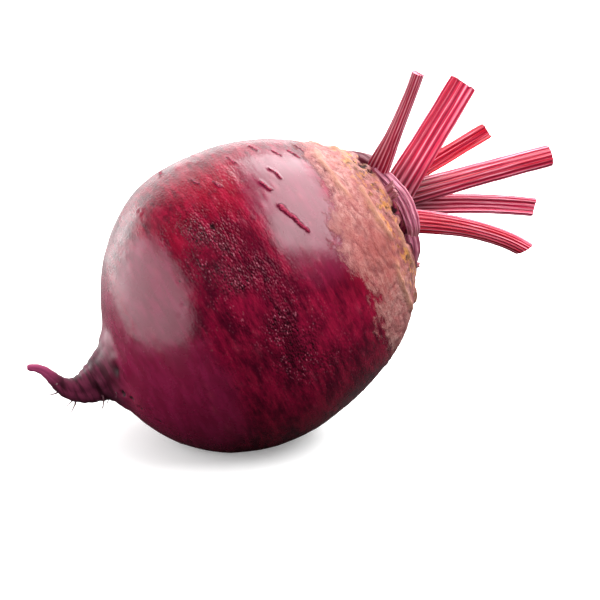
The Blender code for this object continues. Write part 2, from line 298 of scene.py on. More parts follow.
def carve_root(piece, stations):
    """Moves the plain root's points as a carver would, and marks its skin for the material."""
    points = points_of(piece)
    cosine, sine, ring = (marks(piece, name) for name in ("cosine", "sine", "ring"))
    angle = np.arctan2(sine, cosine)
    numbers = np.arange(len(stations))
    centres = np.array([station[0] for station in stations])
    centre = np.stack([np.interp(ring, numbers, centres[:, axis]) for axis in range(3)], 1)
    height = centre[:, 2]
    out = points - centre
    radius = np.linalg.norm(out, axis=1)
    belly = np.cos(angle)
    mantle = np.interp(ring, numbers, np.concatenate(
        [[0], np.cumsum([math.hypot(
            (b[0] - a[0]).length, b[2] - a[2]) for a, b in zip(stations, stations[1:])])]))

    # Plain form: out of round, furrowed where side roots grow, folded along the tail
    on_globe = smooth(-0.044, -0.030, height)
    stretch = 1 + on_globe * (0.012 * np.cos(2 * angle + 0.6) + 0.007 * np.cos(3 * angle + 2.0))
    in_tail = 1 - smooth(-0.048, -0.042, height)
    row = np.exp(-((np.remainder(angle, math.pi) - math.pi / 2) / 0.30) ** 2)
    below = smooth(0.020, 0.036, -height) * np.minimum(1.0, radius / GLOBE_RADIUS * 6)
    stretch -= 0.9 * MM * row * below / np.maximum(radius, 1e-4)
    lower = smooth(0.0, 0.030, -height) * (1 - smooth(0.039, 0.046, -height))
    rise = -np.where(belly > 0, 2.2, 3.9) * MM * belly * lower
    rise -= 0.03 * radius * belly * smooth(0.038, 0.049, height)
    points = centre + out * stretch[:, None]
    for x, y, wide, deep in HOLLOWS:
        away = np.hypot(points[:, 0] - x * MM, points[:, 1] - y * MM) / (wide * MM)
        points[:, 2] -= deep * MM * np.exp(-(away**4)) * (height > 0.04)
    swell = lumps(points, 24 * MM) * 0.7 * MM * on_globe * np.minimum(1.0, radius / RIM_RADIUS)
    points += points / np.linalg.norm(points, axis=1)[:, None] * swell[:, None]
    points[:, 2] += rise
    move_points(piece, points)

    # Places on the skin, in mm: round from the top side, and down from the crown's middle
    bearing = np.degrees(np.remainder(math.pi - angle + math.pi, 2 * math.pi) - math.pi)
    flank = np.where(ring >= CROWN_RINGS, 1.0, 0.0)
    talls = np.array([station[0].z for station in stations[CROWN_RINGS:]])
    by_ring = np.argsort(ring)
    downs = np.interp(np.arange(CROWN_RINGS, len(stations)), ring[by_ring], mantle[by_ring])

    def down_at(tall):
        """How far down the skin a height in mm lies, from the crown's middle, in metres."""
        return np.interp(-tall * MM, -talls, downs)

    def skin_offset(tall, facing):
        """How far each point lies round and down from a place on the skin, in mm."""
        turn = np.remainder(bearing - facing + 180, 360) - 180
        away = np.radians(turn) * np.maximum(radius, 2 * MM) / MM
        return away, (mantle - down_at(tall)) / MM

    def dab(tall, facing, wide, high):
        """1 at a place on the skin, fading to 0 over this width and height in mm."""
        away, drop = skin_offset(tall, facing)
        return np.exp(-((away / wide) ** 2 + (drop / high) ** 2))

    # Cork: over the crown and down the shoulder, further down on some sides
    edge = 34.4 - 6.5 * smooth(22, 62, np.abs(bearing + 5)) + 2.6 * lumps(points, 16 * MM)
    cork = smooth(-4.5, 5.5, height / MM - edge + 2.2 * lumps(points, 4 * MM)) * flank
    cork = np.where(ring < CROWN_RINGS, 1.0, cork)

    grain = 0.15 * smooth(-0.35, 0.25, lumps(points + 7, 21 * MM) + 0.15)
    even, dusky = np.zeros(len(points)), np.zeros(len(points))
    for tall, facing, half_tall, half_wide in SMOOTH_PATCHES:
        away, drop = skin_offset(tall, facing)
        inside = (np.abs(away) / half_wide) ** 2.6 + (np.abs(drop) / half_tall) ** 2.6
        ragged = 0.35 * lumps(points, 6 * MM) + 0.25 * lumps(points, 2.2 * MM)
        patch = 1 - smooth(0.35, 1.75, inside + ragged)
        even = np.maximum(even, patch)
        dusky = np.maximum(dusky, patch * (tall > 15))  # the upper patches are a darker wine
    even = np.maximum(even, 1 - smooth(-0.037, -0.031, height))
    band_at = -6.5 - 0.16 * (bearing + 30)  # the scurfy belt sinks towards the top side
    belt = np.exp(-(((height / MM - band_at) / 10) ** 2))
    belt *= (1 - smooth(-38, -18, bearing)) * smooth(-128, -92, bearing)
    grain = np.maximum(grain, belt * smooth(-0.75, 0.1, lumps(points, 7 * MM)))
    grain = grain * (1 - even) * (1 - cork) * (1 - in_tail)

    # Raised slits with a painted shadow line below, ring scars, pits
    raised = np.zeros(len(points))
    pink = np.zeros(len(points))
    hollow_shade = np.zeros(len(points))
    slit_field = np.full(len(points), 6.0)
    pit_field = np.full(len(points), 6.0)
    for (tall, facing), (tall_to, facing_to), half in SLITS:
        away, drop = skin_offset(tall, facing)
        away_to, drop_to = skin_offset(tall_to, facing_to)
        along = np.stack([away - away_to, drop - drop_to], 1)
        near = np.hypot(away, drop) < 22
        way = along[near].mean(0) if near.any() else np.array([1.0, 0.0])
        length = np.hypot(*way)
        unit = way / length
        run = away * unit[0] + drop * unit[1]
        off = -away * unit[1] + drop * unit[0] + 0.55 * lumps(points, 3 * MM)
        past = np.maximum(np.maximum(-run, run - length), 0)
        near_slit = np.hypot(off / half, past / 0.4)
        slit_field = np.minimum(slit_field, np.where(np.abs(away) < 25, near_slit, 6.0))
        raised += 0.42 * np.exp(-(near_slit**2)) * (np.abs(away) < 25)
    for tall, facing, size, deep in RINGS_AND_PITS:
        away, drop = skin_offset(tall, facing)
        far = np.hypot(away, drop * 1.3) / size + 0.15 * lumps(points, 1.2 * MM)
        if deep < 0:
            wall = np.exp(-(((far - 1) / 0.28) ** 2))
            raised += -deep * wall
            pink = np.maximum(pink, 0.5 * wall)
            pit_field = np.minimum(pit_field, 1 + np.abs(far - 0.6) * 2.5)
        else:
            raised -= deep * np.exp(-(far**4))
            pit_field = np.minimum(pit_field, far)
    # Painted shade: the crown's hollows are marked to be painted near-black
    for x, y, wide, _ in HOLLOWS:
        away = np.hypot(points[:, 0] - x * MM, points[:, 1] - y * MM) / (wide * MM)
        hollow_shade = np.maximum(hollow_shade, 0.9 * np.exp(-((away / 0.9) ** 4)) * (height > 0.04))
    warm = np.zeros(len(points))
    for tall, facing, size in WARM_PATCHES:
        warm = np.maximum(warm, dab(tall, facing, size, size))
    drawn = random.Random(11)
    for _ in range(SMALL_MARKS):
        tall, facing = drawn.uniform(-36, 33), drawn.uniform(-180, 180)
        size, deep = drawn.uniform(0.30, 0.75), drawn.uniform(0.08, 0.24)
        away, drop = skin_offset(tall, facing)
        far = np.hypot(away / 2.4, drop) / size
        raised += deep * np.exp(-(far**2)) * (1 - 0.6 * even)
        pink = np.maximum(pink, 0.35 * np.exp(-(far**2)))

    # Fine relief: dents, wrinkles that run round the root, scaly grain, cracked cork, folds of the tail
    upper = smooth(-0.020, 0.012, height)
    raised += 0.16 * lumps(points, 9 * MM) * on_globe * (1 - 0.5 * even)
    wrinkle = lumps(points, (7 * MM, 7 * MM, 1.3 * MM))
    raised += 0.055 * wrinkle * upper * on_globe * (1 - 0.85 * even) * (1 - 0.4 * cork)
    long_wrinkle = lumps(points + 3, (13 * MM, 13 * MM, 2.4 * MM))
    raised += 0.07 * long_wrinkle * on_globe * (1 - 0.7 * even) * (1 - cork)
    raised += 0.06 * lumps(points, (3.2 * MM, 3.2 * MM, 0.9 * MM)) * grain
    raised += cork * flank * (0.14 * lumps(points, 3.4 * MM) + 0.10 * lumps(points, 1.5 * MM))
    near_rim = smooth(0.040, 0.0455, height) * flank
    raised += near_rim * 0.30 * lumps(points, (3.0 * MM, 3.0 * MM, 1.4 * MM))
    cracks = creases(points, (6 * MM, 6 * MM, 2.6 * MM)) * cork * flank
    raised -= 0.14 * cracks

    # Crown: crescents left by older leaves in their spiral, and a mound under each stalk
    golden = math.pi * (3 - math.sqrt(5))
    on_crown = (ring < CROWN_RINGS) * 1.0
    spots = points[:, :2] / MM
    crescents = np.zeros(len(points))
    for leaf in range(CROWN_SCARS):
        outward = np.array([math.cos(leaf * golden), math.sin(leaf * golden)])
        away = spots - outward * (2.0 + 0.52 * leaf)
        across, along = away @ outward, away @ np.array([-outward[1], outward[0]])
        half = 1.1 + 0.10 * leaf
        bowed = across + 0.22 * along**2 / half + 0.35 * lumps(points, 2.4 * MM)
        ends = 1 - smooth(0.7 * half, 1.2 * half, np.abs(along))
        crescents = np.maximum(crescents, np.exp(-((bowed / 0.42) ** 2)) * ends)
    mound = np.zeros(len(points))
    for foot in STALK_FEET.values():
        mound = np.maximum(mound, np.exp(-((np.linalg.norm(spots - np.array(foot), axis=1) / 4.6) ** 2)))
    inner = 1 - smooth(0.016, 0.019, radius)
    raised += on_crown * inner * (0.75 * crescents + 1.3 * mound + 0.30 * lumps(points, 2.2 * MM))

    scars = on_crown * inner * crescents
    for scar in range(SHOULDER_SCARS):
        at = 21.5 + (31 - 21.5) * scar / (SHOULDER_SCARS - 1)
        away = np.abs(np.remainder(angle - scar * golden + math.pi, 2 * math.pi) - math.pi)
        bow = 1.1 * (away / SCAR_HALF) ** 2
        wave = 0.5 * lumps(points, 3 * MM)
        crest = np.exp(-(((radius / MM - at + bow + wave) / 0.75) ** 2))
        scars += crest * (1 - smooth(0.6, 1.0, away / SCAR_HALF)) * (height > 0) * flank
    raised += 0.75 * scars

    tail = 1 - smooth(-0.0455, -0.039, height)
    fold_wave = np.sin(mantle / MM * 2 * math.pi / FOLD_SPACING + belly + 1.2 * lumps(points, 5 * MM))
    raised += in_tail * 0.035 * np.minimum(radius / MM, 5.0) * fold_wave
    tip = smooth(0.0555, 0.0585, -height) * tail
    pink = np.maximum(pink, 0.45 * dab(-40.0, -112, 5.0, 2.6))
    neck = smooth(0.040, 0.0425, -height) * (1 - smooth(0.0495, 0.053, -height))
    long_folds = np.sin(angle * 7 + 2.5 * lumps(points, 6 * MM) + mantle / MM * 0.5)
    raised += neck * (0.10 * long_folds + 0.34 * lumps(points, 3.6 * MM))
    for tall, facing, wide, deep in RIM_CAVITIES:
        away, drop = skin_offset(tall, facing)
        hole = np.exp(-((np.hypot(away, 1.3 * drop) / wide) ** 4))
        raised -= deep * hole
        pit_field = np.minimum(pit_field, np.hypot(away, 1.3 * drop) / wide)
    for tall, facing, wide, high, stands_out in TAIL_KNOBS:
        knob = dab(tall, facing, wide, high)
        raised += stands_out * knob
        # A fold that sinks in is marked for painted shade
        if stands_out < 0:
            hollow_shade = np.maximum(hollow_shade, 0.9 * knob)

    shoulder_roll = np.exp(-(((mantle - down_at(48.6)) / MM / 3.0) ** 2))
    raised += 1.1 * shoulder_roll * np.exp(-(((bearing + 25) / 45) ** 2))
    turned = normals_of(piece)
    points = points + turned * (raised * MM)[:, None]
    table_height = points @ np.array(Matrix.Rotation(TIP_OVER, 3, "Y").row[2])
    lift = np.maximum(0, BELLY_HEIGHT - table_height)
    points += np.outer(lift, np.array(Matrix.Rotation(-TIP_OVER, 3, "Y") @ Vector((0, 0, 1))))
    move_points(piece, points)

    rim = np.exp(-(((mantle - down_at(45.0)) / MM / 4.5) ** 2))
    for name, values in (
        ("cork", cork), ("grain", grain), ("even", even), ("pink", pink), ("hollow_shade", hollow_shade),
        ("tail", tail), ("rim", rim), ("scars", np.minimum(scars, 1)), ("crown", ring < CROWN_RINGS),
        ("cracks", cracks), ("warm", warm), ("tip", tip), ("slit", slit_field), ("pit", pit_field),
        ("mound", mound * on_crown), ("dusky", dusky),
    ):
        mark(piece, name, values)
    for name in ("cosine", "sine", "ring"):
        piece.data.attributes.remove(piece.data.attributes[name])


def linear(hex_colour):
    """A hex sRGB colour as the linear numbers that the shader takes."""
    parts = [int(hex_colour[i : i + 2], 16) / 255 for i in (0, 2, 4)]
    return (*[p / 12.92 if p <= 0.04045 else ((p + 0.055) / 1.055) ** 2.4 for p in parts], 1.0)


def add(tree, kind, inputs, out=0, **settings):
    """Adds a node with its settings, gives each input a number, a link or a mark, and returns one output."""
    made = tree.nodes.new(kind)
    for name, value in settings.items():
        setattr(made, name, value)
    for name, value in inputs.items():
        if isinstance(value, str):  # the name of a number that is kept on the mesh
            value = add(tree, "ShaderNodeAttribute", {}, out=2, attribute_name=value)
        if isinstance(value, bpy.types.NodeSocket):
            tree.links.new(value, made.inputs[name])
        else:
            made.inputs[name].default_value = value
    return made.outputs[out]


def new_material(name):
    """A material with a Principled shader: returns it, its tree and the shader."""
    made = bpy.data.materials.new(name)
    made.use_nodes = True
    return made, made.node_tree, made.node_tree.nodes["Principled BSDF"]


def total(tree, *terms, between=None):
    """The sum of terms, each a product of numbers, links and marks, or how far it is between two values."""
    worked = None
    for first, *factors in terms:
        for factor in factors:
            first = add(tree, "ShaderNodeMath", {0: first, 1: factor}, operation="MULTIPLY")
        if worked is not None:
            first = add(tree, "ShaderNodeMath", {0: worked, 1: first}, operation="ADD")
        worked = first
    if between is None:
        return worked
    span = {"Value": worked, "From Min": between[0], "From Max": between[1]}
    return add(tree, "ShaderNodeMapRange", span, interpolation_type="SMOOTHSTEP")


def painted(tree, ground, *coats):
    """A ground with coats of colour laid over it, each with the shares whose product it covers by."""
    ground = linear(ground) if isinstance(ground, str) else ground
    for colour, *shares in coats:
        colour = linear(colour) if isinstance(colour, str) else colour
        coat = {"Factor": total(tree, shares), "A": ground, "B": colour}
        ground = add(tree, "ShaderNodeMix", coat, out=2, data_type="RGBA")
    return ground


def upright_place(tree, squeeze=(1, 1, 1)):
    """Object coordinates turned upright, and squeezed so that a pattern runs round the root."""
    place = add(tree, "ShaderNodeTexCoord", {}, out=3)
    upright = add(
        tree, "ShaderNodeMapping",
        {"Vector": place, "Location": LIES_AT, "Rotation": (0, TIP_OVER, 0)}, vector_type="TEXTURE",
    )
    return add(tree, "ShaderNodeMapping", {"Vector": upright, "Scale": squeeze})


def speckle(tree, size, between=None, squeeze=(1, 1, 1), detail=3.0, rough=0.55):
    """Cloudy noise whose lumps are about this size, or how far it is between two values."""
    cloud = {"Vector": upright_place(tree, squeeze), "Scale": 1 / size, "Detail": detail, "Roughness": rough}
    return total(tree, (add(tree, "ShaderNodeTexNoise", cloud),), between=between)


def grains(tree, size, between=None, squeeze=(1, 1, 1)):
    """Distance to the nearest grain of about this size, or how far it is between two values."""
    cells = {"Vector": upright_place(tree, squeeze), "Scale": 1 / size}
    return total(tree, (add(tree, "ShaderNodeTexVoronoi", cells, feature="F1"),), between=between)


def beet_skin():
    """Beetroot periderm: washed wine-red skin, wet-looking where it is smooth, dull tan where it is cork."""
    made, tree, shader = new_material("beet skin, washed")
    streak = speckle(tree, 2.2 * MM, (0.42, 0.64), (0.28, 0.28, 1.4), 4, 0.6)
    cloud = speckle(tree, 9 * MM, (0.38, 0.62), (0.7, 0.7, 1.1), 4, 0.6)
    hair = speckle(tree, 0.8 * MM, (0.44, 0.66), (0.2, 0.2, 1.3), 3, 0.6)
    mottle = speckle(tree, 3.4 * MM, (0.52, 0.64), (0.5, 0.5, 1.2), 5, 0.7)
    specks = grains(tree, 1.1 * MM, (0.34, 0.12), (0.6, 0.6, 1.1))
    # Painted glints: pale pink specks on the grainy skin stand in for sparkles of reflected light
    painted_glints = grains(tree, 0.8 * MM, (0.38, 0.16), (0.7, 0.7, 1.1))
    glint_spread = speckle(tree, 3.0 * MM, (0.44, 0.60), (0.6, 0.6, 1.2))
    smooth_skin = painted(tree, "700a31", ("7e133e", streak), ("560a24", "dusky", 0.5))
    scurfy = painted(tree, "320513", ("600b26", streak))
    wine = painted(
        tree, "48061c", ("780b2c", cloud), ("860c23", "warm", 0.8), ("a01c3a", streak, 0.40),
        ("2c0412", hair, 0.30), ("3a0518", mottle, 0.55), (smooth_skin, "even", 0.9), (scurfy, "grain", 0.8),
        ("1a030b", specks, "grain"), ("a85a6c", painted_glints, glint_spread, "grain", 0.8),
    )

    sand = speckle(tree, 1.5 * MM, (0.38, 0.64), (0.7, 0.7, 1.1), 5, 0.75)
    blush = speckle(tree, 6 * MM, (0.42, 0.62), (0.6, 0.6, 1.2), 4)
    golden = speckle(tree, 2.0 * MM, (0.50, 0.62), (0.8, 0.8, 1.1), 4, 0.6)
    fibre = speckle(tree, 0.8 * MM, (0.52, 0.68), (0.25, 0.25, 1.2), 4, 0.7)
    dust = grains(tree, 0.7 * MM, (0.30, 0.12))
    dusty = speckle(tree, 4.5 * MM, (0.36, 0.60), (0.6, 0.6, 1.2))
    scorch = speckle(tree, 1.3 * MM, (0.54, 0.64), (0.7, 0.7, 1.1), 4, 0.7)
    cork = painted(
        tree, "8e5856", ("b28680", sand), ("a05a5a", blush, 0.5), ("84403a", "warm", 0.75),
        ("c88a40", golden, "rim", 0.8), ("743038", fibre, 0.45), ("62262e", dust, dusty, 0.75),
        ("55232a", "cracks", 0.45), ("3a2418", scorch, "rim", 0.8), ("b08468", "scars", 0.45),
    )

    # Ragged edge of the cork, tail, crown, and slits and pits: the mesh keeps how far each point is from one
    ragged = speckle(tree, 1.6 * MM, None, (0.5, 0.5, 1.2), 5, 0.75)
    reach = total(tree, ("cork",), (ragged, 1.9), (-0.95,), between=(0.25, 0.75))
    tip = total(tree, ("tip",), between=(0.15, 1.0))
    tail_colour = painted(tree, "361420", ("5c2238", streak), ("8a385a", tip))
    # The crown's face is painted very dark between the stalks as painted shade, redder on the mounds under
    # them
    heart = speckle(tree, 1.8 * MM, (0.40, 0.62), (1, 1, 1), 4, 0.7)
    heart = painted(tree, "2c0814", ("6a2234", heart), ("981e40", "mound", 0.7), ("ac6a58", "scars", 0.8))
    fray = speckle(tree, 0.8 * MM)
    # Painted shadow: a dark line round each raised slit
    shade = total(tree, ("slit",), (fray, 3.0), (-1.5,), between=(2.3, 1.5))
    lip = total(tree, ("slit",), (fray, 3.0), (-1.5,), between=(1.35, 0.95))
    # Painted shade: pits, the middles of ring scars and rim cavities darkened to near-black
    hole = total(tree, ("pit",), (fray, 1.8), (-0.9,), between=(1.15, 0.75))
    crust = painted(tree, "70122c", ("983650", speckle(tree, 0.5 * MM, (0.45, 0.60))))
    # Painted shade, near-black, in the crown's hollows and the tail's sunken folds
    colour = painted(
        tree, wine, (cork, reach), ("a03a50", "pink", 0.7), (tail_colour, "tail"), (heart, "crown"),
        ("160309", "hollow_shade"), ("3c0a1c", shade, 0.65), (crust, lip), ("180509", hole, 0.92),
    )
    tree.links.new(colour, shader.inputs["Base Color"])

    # Smooth skin is glossy and mirrors white; cork, slits and the tail are dull; grainy skin mirrors dark red
    gloss = {"Value": speckle(tree, 5 * MM, (0.3, 0.7)), "To Min": 0.21, "To Max": 0.31}
    gloss = add(tree, "ShaderNodeMapRange", gloss)
    dull = reach
    for other in (lip, hole, total(tree, ("tail", 0.75))):
        dull = add(tree, "ShaderNodeMath", {0: dull, 1: other}, operation="MAXIMUM")
    gloss = add(tree, "ShaderNodeMix", {"Factor": dull, "A": gloss, "B": 0.62}, data_type="FLOAT")
    tree.links.new(gloss, shader.inputs["Roughness"])
    shader.inputs["IOR"].default_value = 1.45
    rough_skin = total(tree, (1.0,), ("even", -1.0))
    for other in ("tail", shade):
        rough_skin = add(tree, "ShaderNodeMath", {0: rough_skin, 1: other}, operation="MAXIMUM")
    tree.links.new(painted(tree, "ffffff", ("5c1224", rough_skin, 0.93)), shader.inputs["Specular Tint"])

    crumbs = total(tree, (1.0,), (grains(tree, 0.75 * MM, None, (0.75, 0.75, 1.25)), -1.0))
    calm = add(tree, "ShaderNodeMath", {0: "even", 1: "tail"}, operation="MAXIMUM")
    fine = add(tree, "ShaderNodeMapRange", {"Value": calm, "To Min": 0.32, "To Max": 0.05})
    lines = speckle(tree, 1.1 * MM, None, (0.22, 0.22, 1.2))
    scurf = speckle(tree, 0.8 * MM, None, (0.7, 0.7, 1.1), 4, 0.7)
    height = total(tree, (crumbs, "grain", 1.6), (lines, fine), (scurf, reach, 1.1), (lip, 0.9))
    relief = add(tree, "ShaderNodeBump", {"Height": height, "Distance": 0.30 * MM, "Strength": 1.0})
    tree.links.new(relief, shader.inputs["Normal"])
    return made


STATIONS = root_stations()
root = extruded_root(STATIONS)
carve_root(root, STATIONS)
root.data.transform(UPRIGHT_TO_TABLE)
root.data.materials.append(beet_skin())
root.data.shade_smooth()
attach(root, "root")
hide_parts("root")

# Side roots: thin dry roots, which grow in two rows along the tap root's flanks.
# Each is drawn out of a small disc towards the tail's tip, and is a part of the root's own body.

ROOTLETS = [  # share of the tail's length, bearing from the belly in degrees, length, radius at the foot in mm
    (0.22, 20, 3.4, 0.42),
    (0.34, -62, 4.2, 0.42),
    (0.40, 84, 6.5, 0.42),
    (0.52, -20, 3.0, 0.42),
    (0.58, 40, 5.0, 0.42),
    (0.70, -85, 3.6, 0.42),
    (0.47, 25, 4.6, 0.30),
    (0.30, 5, 3.2, 0.30),
    (0.34, 12, 3.8, 0.26),
    (0.18, -75, 2.4, 0.25),
]


def dry_rootlet():
    """Dry side root: thin dull fibre, purple-brown at its foot and grey-brown where it has dried out."""
    made, tree, shader = new_material("side root, dried")
    colour = painted(tree, "4a1c2c", ("6a4a50", speckle(tree, 1.2 * MM, (0.35, 0.65))))
    tree.links.new(colour, shader.inputs["Base Color"])
    shader.inputs["Roughness"].default_value = 0.65
    relief = add(tree, "ShaderNodeBump", {"Height": speckle(tree, 0.4 * MM), "Distance": 0.08 * MM})
    tree.links.new(relief, shader.inputs["Normal"])
    return made


def rootlet(number, share, bearing, length, thick, finish):
    """One side root: a disc on the tail, extruded in steps that shrink, droop and wander."""
    first = CROWN_RINGS + GLOBE_RINGS
    centre, tilt, radius = STATIONS[first + round(share * (TAIL_RINGS - 1))]
    down = Vector((-math.sin(tilt), 0, -math.cos(tilt)))
    across = Vector((math.cos(tilt), 0, -math.sin(tilt)))
    turn = math.radians(bearing)
    out = math.cos(turn) * across + math.sin(turn) * Vector((0, 1, 0))
    start = centre + out * (radius - 1.0 * MM)
    bpy.ops.object.select_all(action="DESELECT")
    facing = out.to_track_quat("Z", "Y").to_euler()
    bpy.ops.mesh.primitive_circle_add(
        vertices=8, radius=thick * MM, fill_type="NGON", location=start, rotation=facing
    )
    piece = start_piece(f"side_root_{number}")
    drawn = random.Random(number)
    bpy.ops.object.mode_set(mode="EDIT")
    bpy.ops.mesh.select_all(action="SELECT")
    steps = 9
    spot = start.copy()
    for step_number in range(steps):
        reach = (step_number + 1) / steps
        move = (out + down * 0.9 * reach).normalized() * (length + 1) * MM / steps
        move += Vector([drawn.uniform(-0.1, 0.1) for _ in range(3)]) * MM
        spot += move
        bpy.ops.mesh.extrude_region_move(TRANSFORM_OT_translate={"value": move})
        shrink = 0.88 if step_number < steps - 1 else 0.4
        bpy.ops.transform.resize(value=(shrink,) * 3, center_override=spot)
    bpy.ops.mesh.select_all(action="SELECT")
    bpy.ops.mesh.normals_make_consistent(inside=False)
    bpy.ops.object.mode_set(mode="OBJECT")
    subdivide_smooth(piece, 1)
    piece.data.transform(UPRIGHT_TO_TABLE)
    piece.data.materials.append(finish)
    piece.data.shade_smooth()
    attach(piece, "root")
    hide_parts("root")


rootlet_finish = dry_rootlet()
for number, (share, bearing, length, thick) in enumerate(ROOTLETS, 1):
    rootlet(number, share, bearing, length, thick, rootlet_finish)

# Leaf stalks: six fresh petioles, crimson with paler ribs, each set in the crown and cut across.
# Each is a ribbed ring extruded upwards to its cut end, then bent along its own line.

# Tip, width at foot and tip, thickness, facing, slope of the cut, bow, ribs, crest, groove; how crimson
# it is, and how much painted shade lies at its foot between its neighbours. The top and the front one have
# pale sheathed feet
STALKS = {
    "leaf_stalk_top": ((-38.6, -17.0, 71.0), 8.4, 3.6, 3.0, 213, 0.15, 2.0, 16, 0.14, 0.14, 0.0, 0.15),
    "leaf_stalk_broad": ((-20.6, 6.0, 87.9), 10.8, 9.0, 4.2, 90, -0.1, 0.0, 14, 0.24, 0.24, 0.62, 0.9),
    "leaf_stalk_back": ((0.2, 16.0, 91.2), 5.8, 5.3, 3.8, 95, -0.25, 0.0, 10, 0.22, 0.22, 1.0, 0.9),
    "leaf_stalk_long": ((14.3, 8.6, 103.7), 8.0, 6.8, 4.0, 270, 0.1, 1.5, 14, 0.14, 0.26, 0.1, 0.9),
    "leaf_stalk_low": ((28.5, 13.0, 94.0), 6.2, 5.6, 4.0, 85, 0.1, 5.0, 14, 0.14, 0.24, 0.35, 0.9),
    "leaf_stalk_front": ((23.8, -18.0, 77.6), 7.2, 4.8, 4.0, 270, -0.6, 7.5, 18, 0.12, 0.20, 0.30, 0.15),
}
FOOT_HEIGHT = 46.5
TAPER_SHARE = 0.42
STALK_STEPS = 14
GUTTER_HALF = 0.30  # of the stalk's width
GUTTER_LEFT = 0.45  # of the inner side's height, along the gutter
INNER_LEFT = 0.75  # of the inner side's height, beside it
CUT_RINGS = ((0.90, -0.12), (0.62, -0.28), (0.30, -0.10))  # scale and rise in mm, towards the cut's middle


def path_frame(foot, bend, tip, facing, share):
    """Middle, side, outer and running direction of a stalk at a share of its length."""
    middle = foot * (1 - share) ** 2 + bend * 2 * share * (1 - share) + tip * share**2
    run = ((bend - foot) * (1 - share) + (tip - bend) * share).normalized()
    outward = Vector((math.cos(facing), math.sin(facing), 0))
    outer = (outward - run * outward.dot(run)).normalized()
    return middle, run.cross(outer), outer, run


def lay_along(piece, foot, bend, tip, facing, length, slope):
    """Bends a stalk that was modelled straight up along its real line, and slants its cut."""
    laid = []
    for x, y, up in points_of(piece):
        share = up / length
        middle, side, outer, run = path_frame(foot, bend, tip, facing, min(max(share, 0.0), 1.0))
        near_tip = max(0.0, min(1.0, (share - 0.75) / 0.25))
        slip = slope * x * near_tip + (share - min(max(share, 0.0), 1.0)) * length
        laid.append(middle + side * x + outer * y + run * slip)
    move_points(piece, np.array(laid))


def select_points(piece, chosen):
    """Selects exactly the vertices whose numbers are chosen, in edit mode."""
    clay = bmesh.from_edit_mesh(piece.data)
    for vertex in clay.verts:
        vertex.select = chosen(vertex)
    clay.select_flush_mode()
    bmesh.update_edit_mesh(piece.data)


def straight_petiole(name, sizes, length, ribs, crest, groove, steps, foot_reach, flush=0.0, foot_shade=0.0):
    """A petiole by operators: a ring pulled into ribs, flattened, guttered, extruded and cut across."""
    foot_width, tip_width, thickness = sizes
    bpy.ops.object.select_all(action="DESELECT")
    bpy.ops.mesh.primitive_circle_add(vertices=ribs * 4, radius=tip_width / 2, fill_type="NOTHING")
    piece = start_piece(name)
    order = np.arange(ribs * 4) % 4
    mark(piece, "rib", np.choose(order, [0.0, 0.55, 1.0, 0.55]))
    drawn = random.Random(name)
    tones = [drawn.random() for _ in range(ribs)]
    mark(piece, "tone", [tones[((number + 2) // 4) % ribs] for number in range(ribs * 4)])
    mark(piece, "edge", [math.cos(2 * math.pi * number / (ribs * 4)) for number in range(ribs * 4)])
    mark(piece, "cut", np.zeros(ribs * 4))
    mark(piece, "share", np.zeros(ribs * 4))
    bpy.ops.object.mode_set(mode="EDIT")
    bpy.ops.mesh.select_mode(type="VERT")
    radius = tip_width / 2
    out, inn = 1 + crest * MM / radius, 1 - groove * MM / radius
    select_points(piece, lambda vertex: vertex.index % 4 == 2)
    bpy.ops.transform.resize(value=(out, out, 1), center_override=(0, 0, 0))
    select_points(piece, lambda vertex: vertex.index % 4 == 0)
    bpy.ops.transform.resize(value=(inn, inn, 1), center_override=(0, 0, 0))
    bpy.ops.mesh.select_all(action="SELECT")
    bpy.ops.transform.resize(value=(1, thickness / tip_width, 1), center_override=(0, 0, 0))
    select_points(piece, lambda vertex: vertex.co.y < 0)
    bpy.ops.transform.resize(value=(1, INNER_LEFT, 1), center_override=(0, 0, 0))
    gutter = tip_width * GUTTER_HALF
    select_points(piece, lambda vertex: vertex.co.y < 0 and abs(vertex.co.x) < gutter)
    bpy.ops.transform.resize(value=(1, GUTTER_LEFT, 1), center_override=(0, 0, 0))
    bpy.ops.mesh.select_all(action="SELECT")

    def width_at(up):
        return tip_width + (foot_width - tip_width) * math.exp(-((up / foot_reach) ** 2))

    wide = tip_width
    for number in range(steps + 1):
        up = length * number / steps
        if number:
            bpy.ops.mesh.extrude_region_move(TRANSFORM_OT_translate={"value": (0, 0, length / steps)})
        grown = width_at(up) / wide
        bpy.ops.transform.resize(value=(grown, 1, 1), center_override=(0, 0, up))
        wide = width_at(up)
        mark_selected(piece, "share", number / steps)
    bpy.ops.mesh.extrude_region_move(TRANSFORM_OT_translate={"value": (0, 0, 0.08 * MM)})
    bpy.ops.transform.resize(value=(0.97, 0.97, 1), center_override=(0, 0, length))
    for scale, drop in CUT_RINGS:
        bpy.ops.mesh.extrude_region_move(TRANSFORM_OT_translate={"value": (0, 0, drop * MM)})
        bpy.ops.transform.resize(value=(scale, scale, 1), center_override=(0, 0, length))
        mark_selected(piece, "cut", 1.0)
    bpy.ops.mesh.edge_face_add()
    bpy.ops.mesh.poke()
    select_points(piece, lambda vertex: vertex.co.z < 1e-6)
    bpy.ops.mesh.edge_face_add()
    bpy.ops.mesh.select_all(action="SELECT")
    bpy.ops.mesh.normals_make_consistent(inside=False)
    bpy.ops.object.mode_set(mode="OBJECT")
    subdivide_smooth(piece, 2)
    straight = piece.data.attributes.new("straight", "FLOAT_VECTOR", "POINT")
    straight.data.foreach_set("vector", points_of(piece).astype(np.float32).ravel())
    mark(piece, "flush", np.full(len(piece.data.vertices), flush))
    mark(piece, "foot_shade", np.full(len(piece.data.vertices), foot_shade))
    return piece


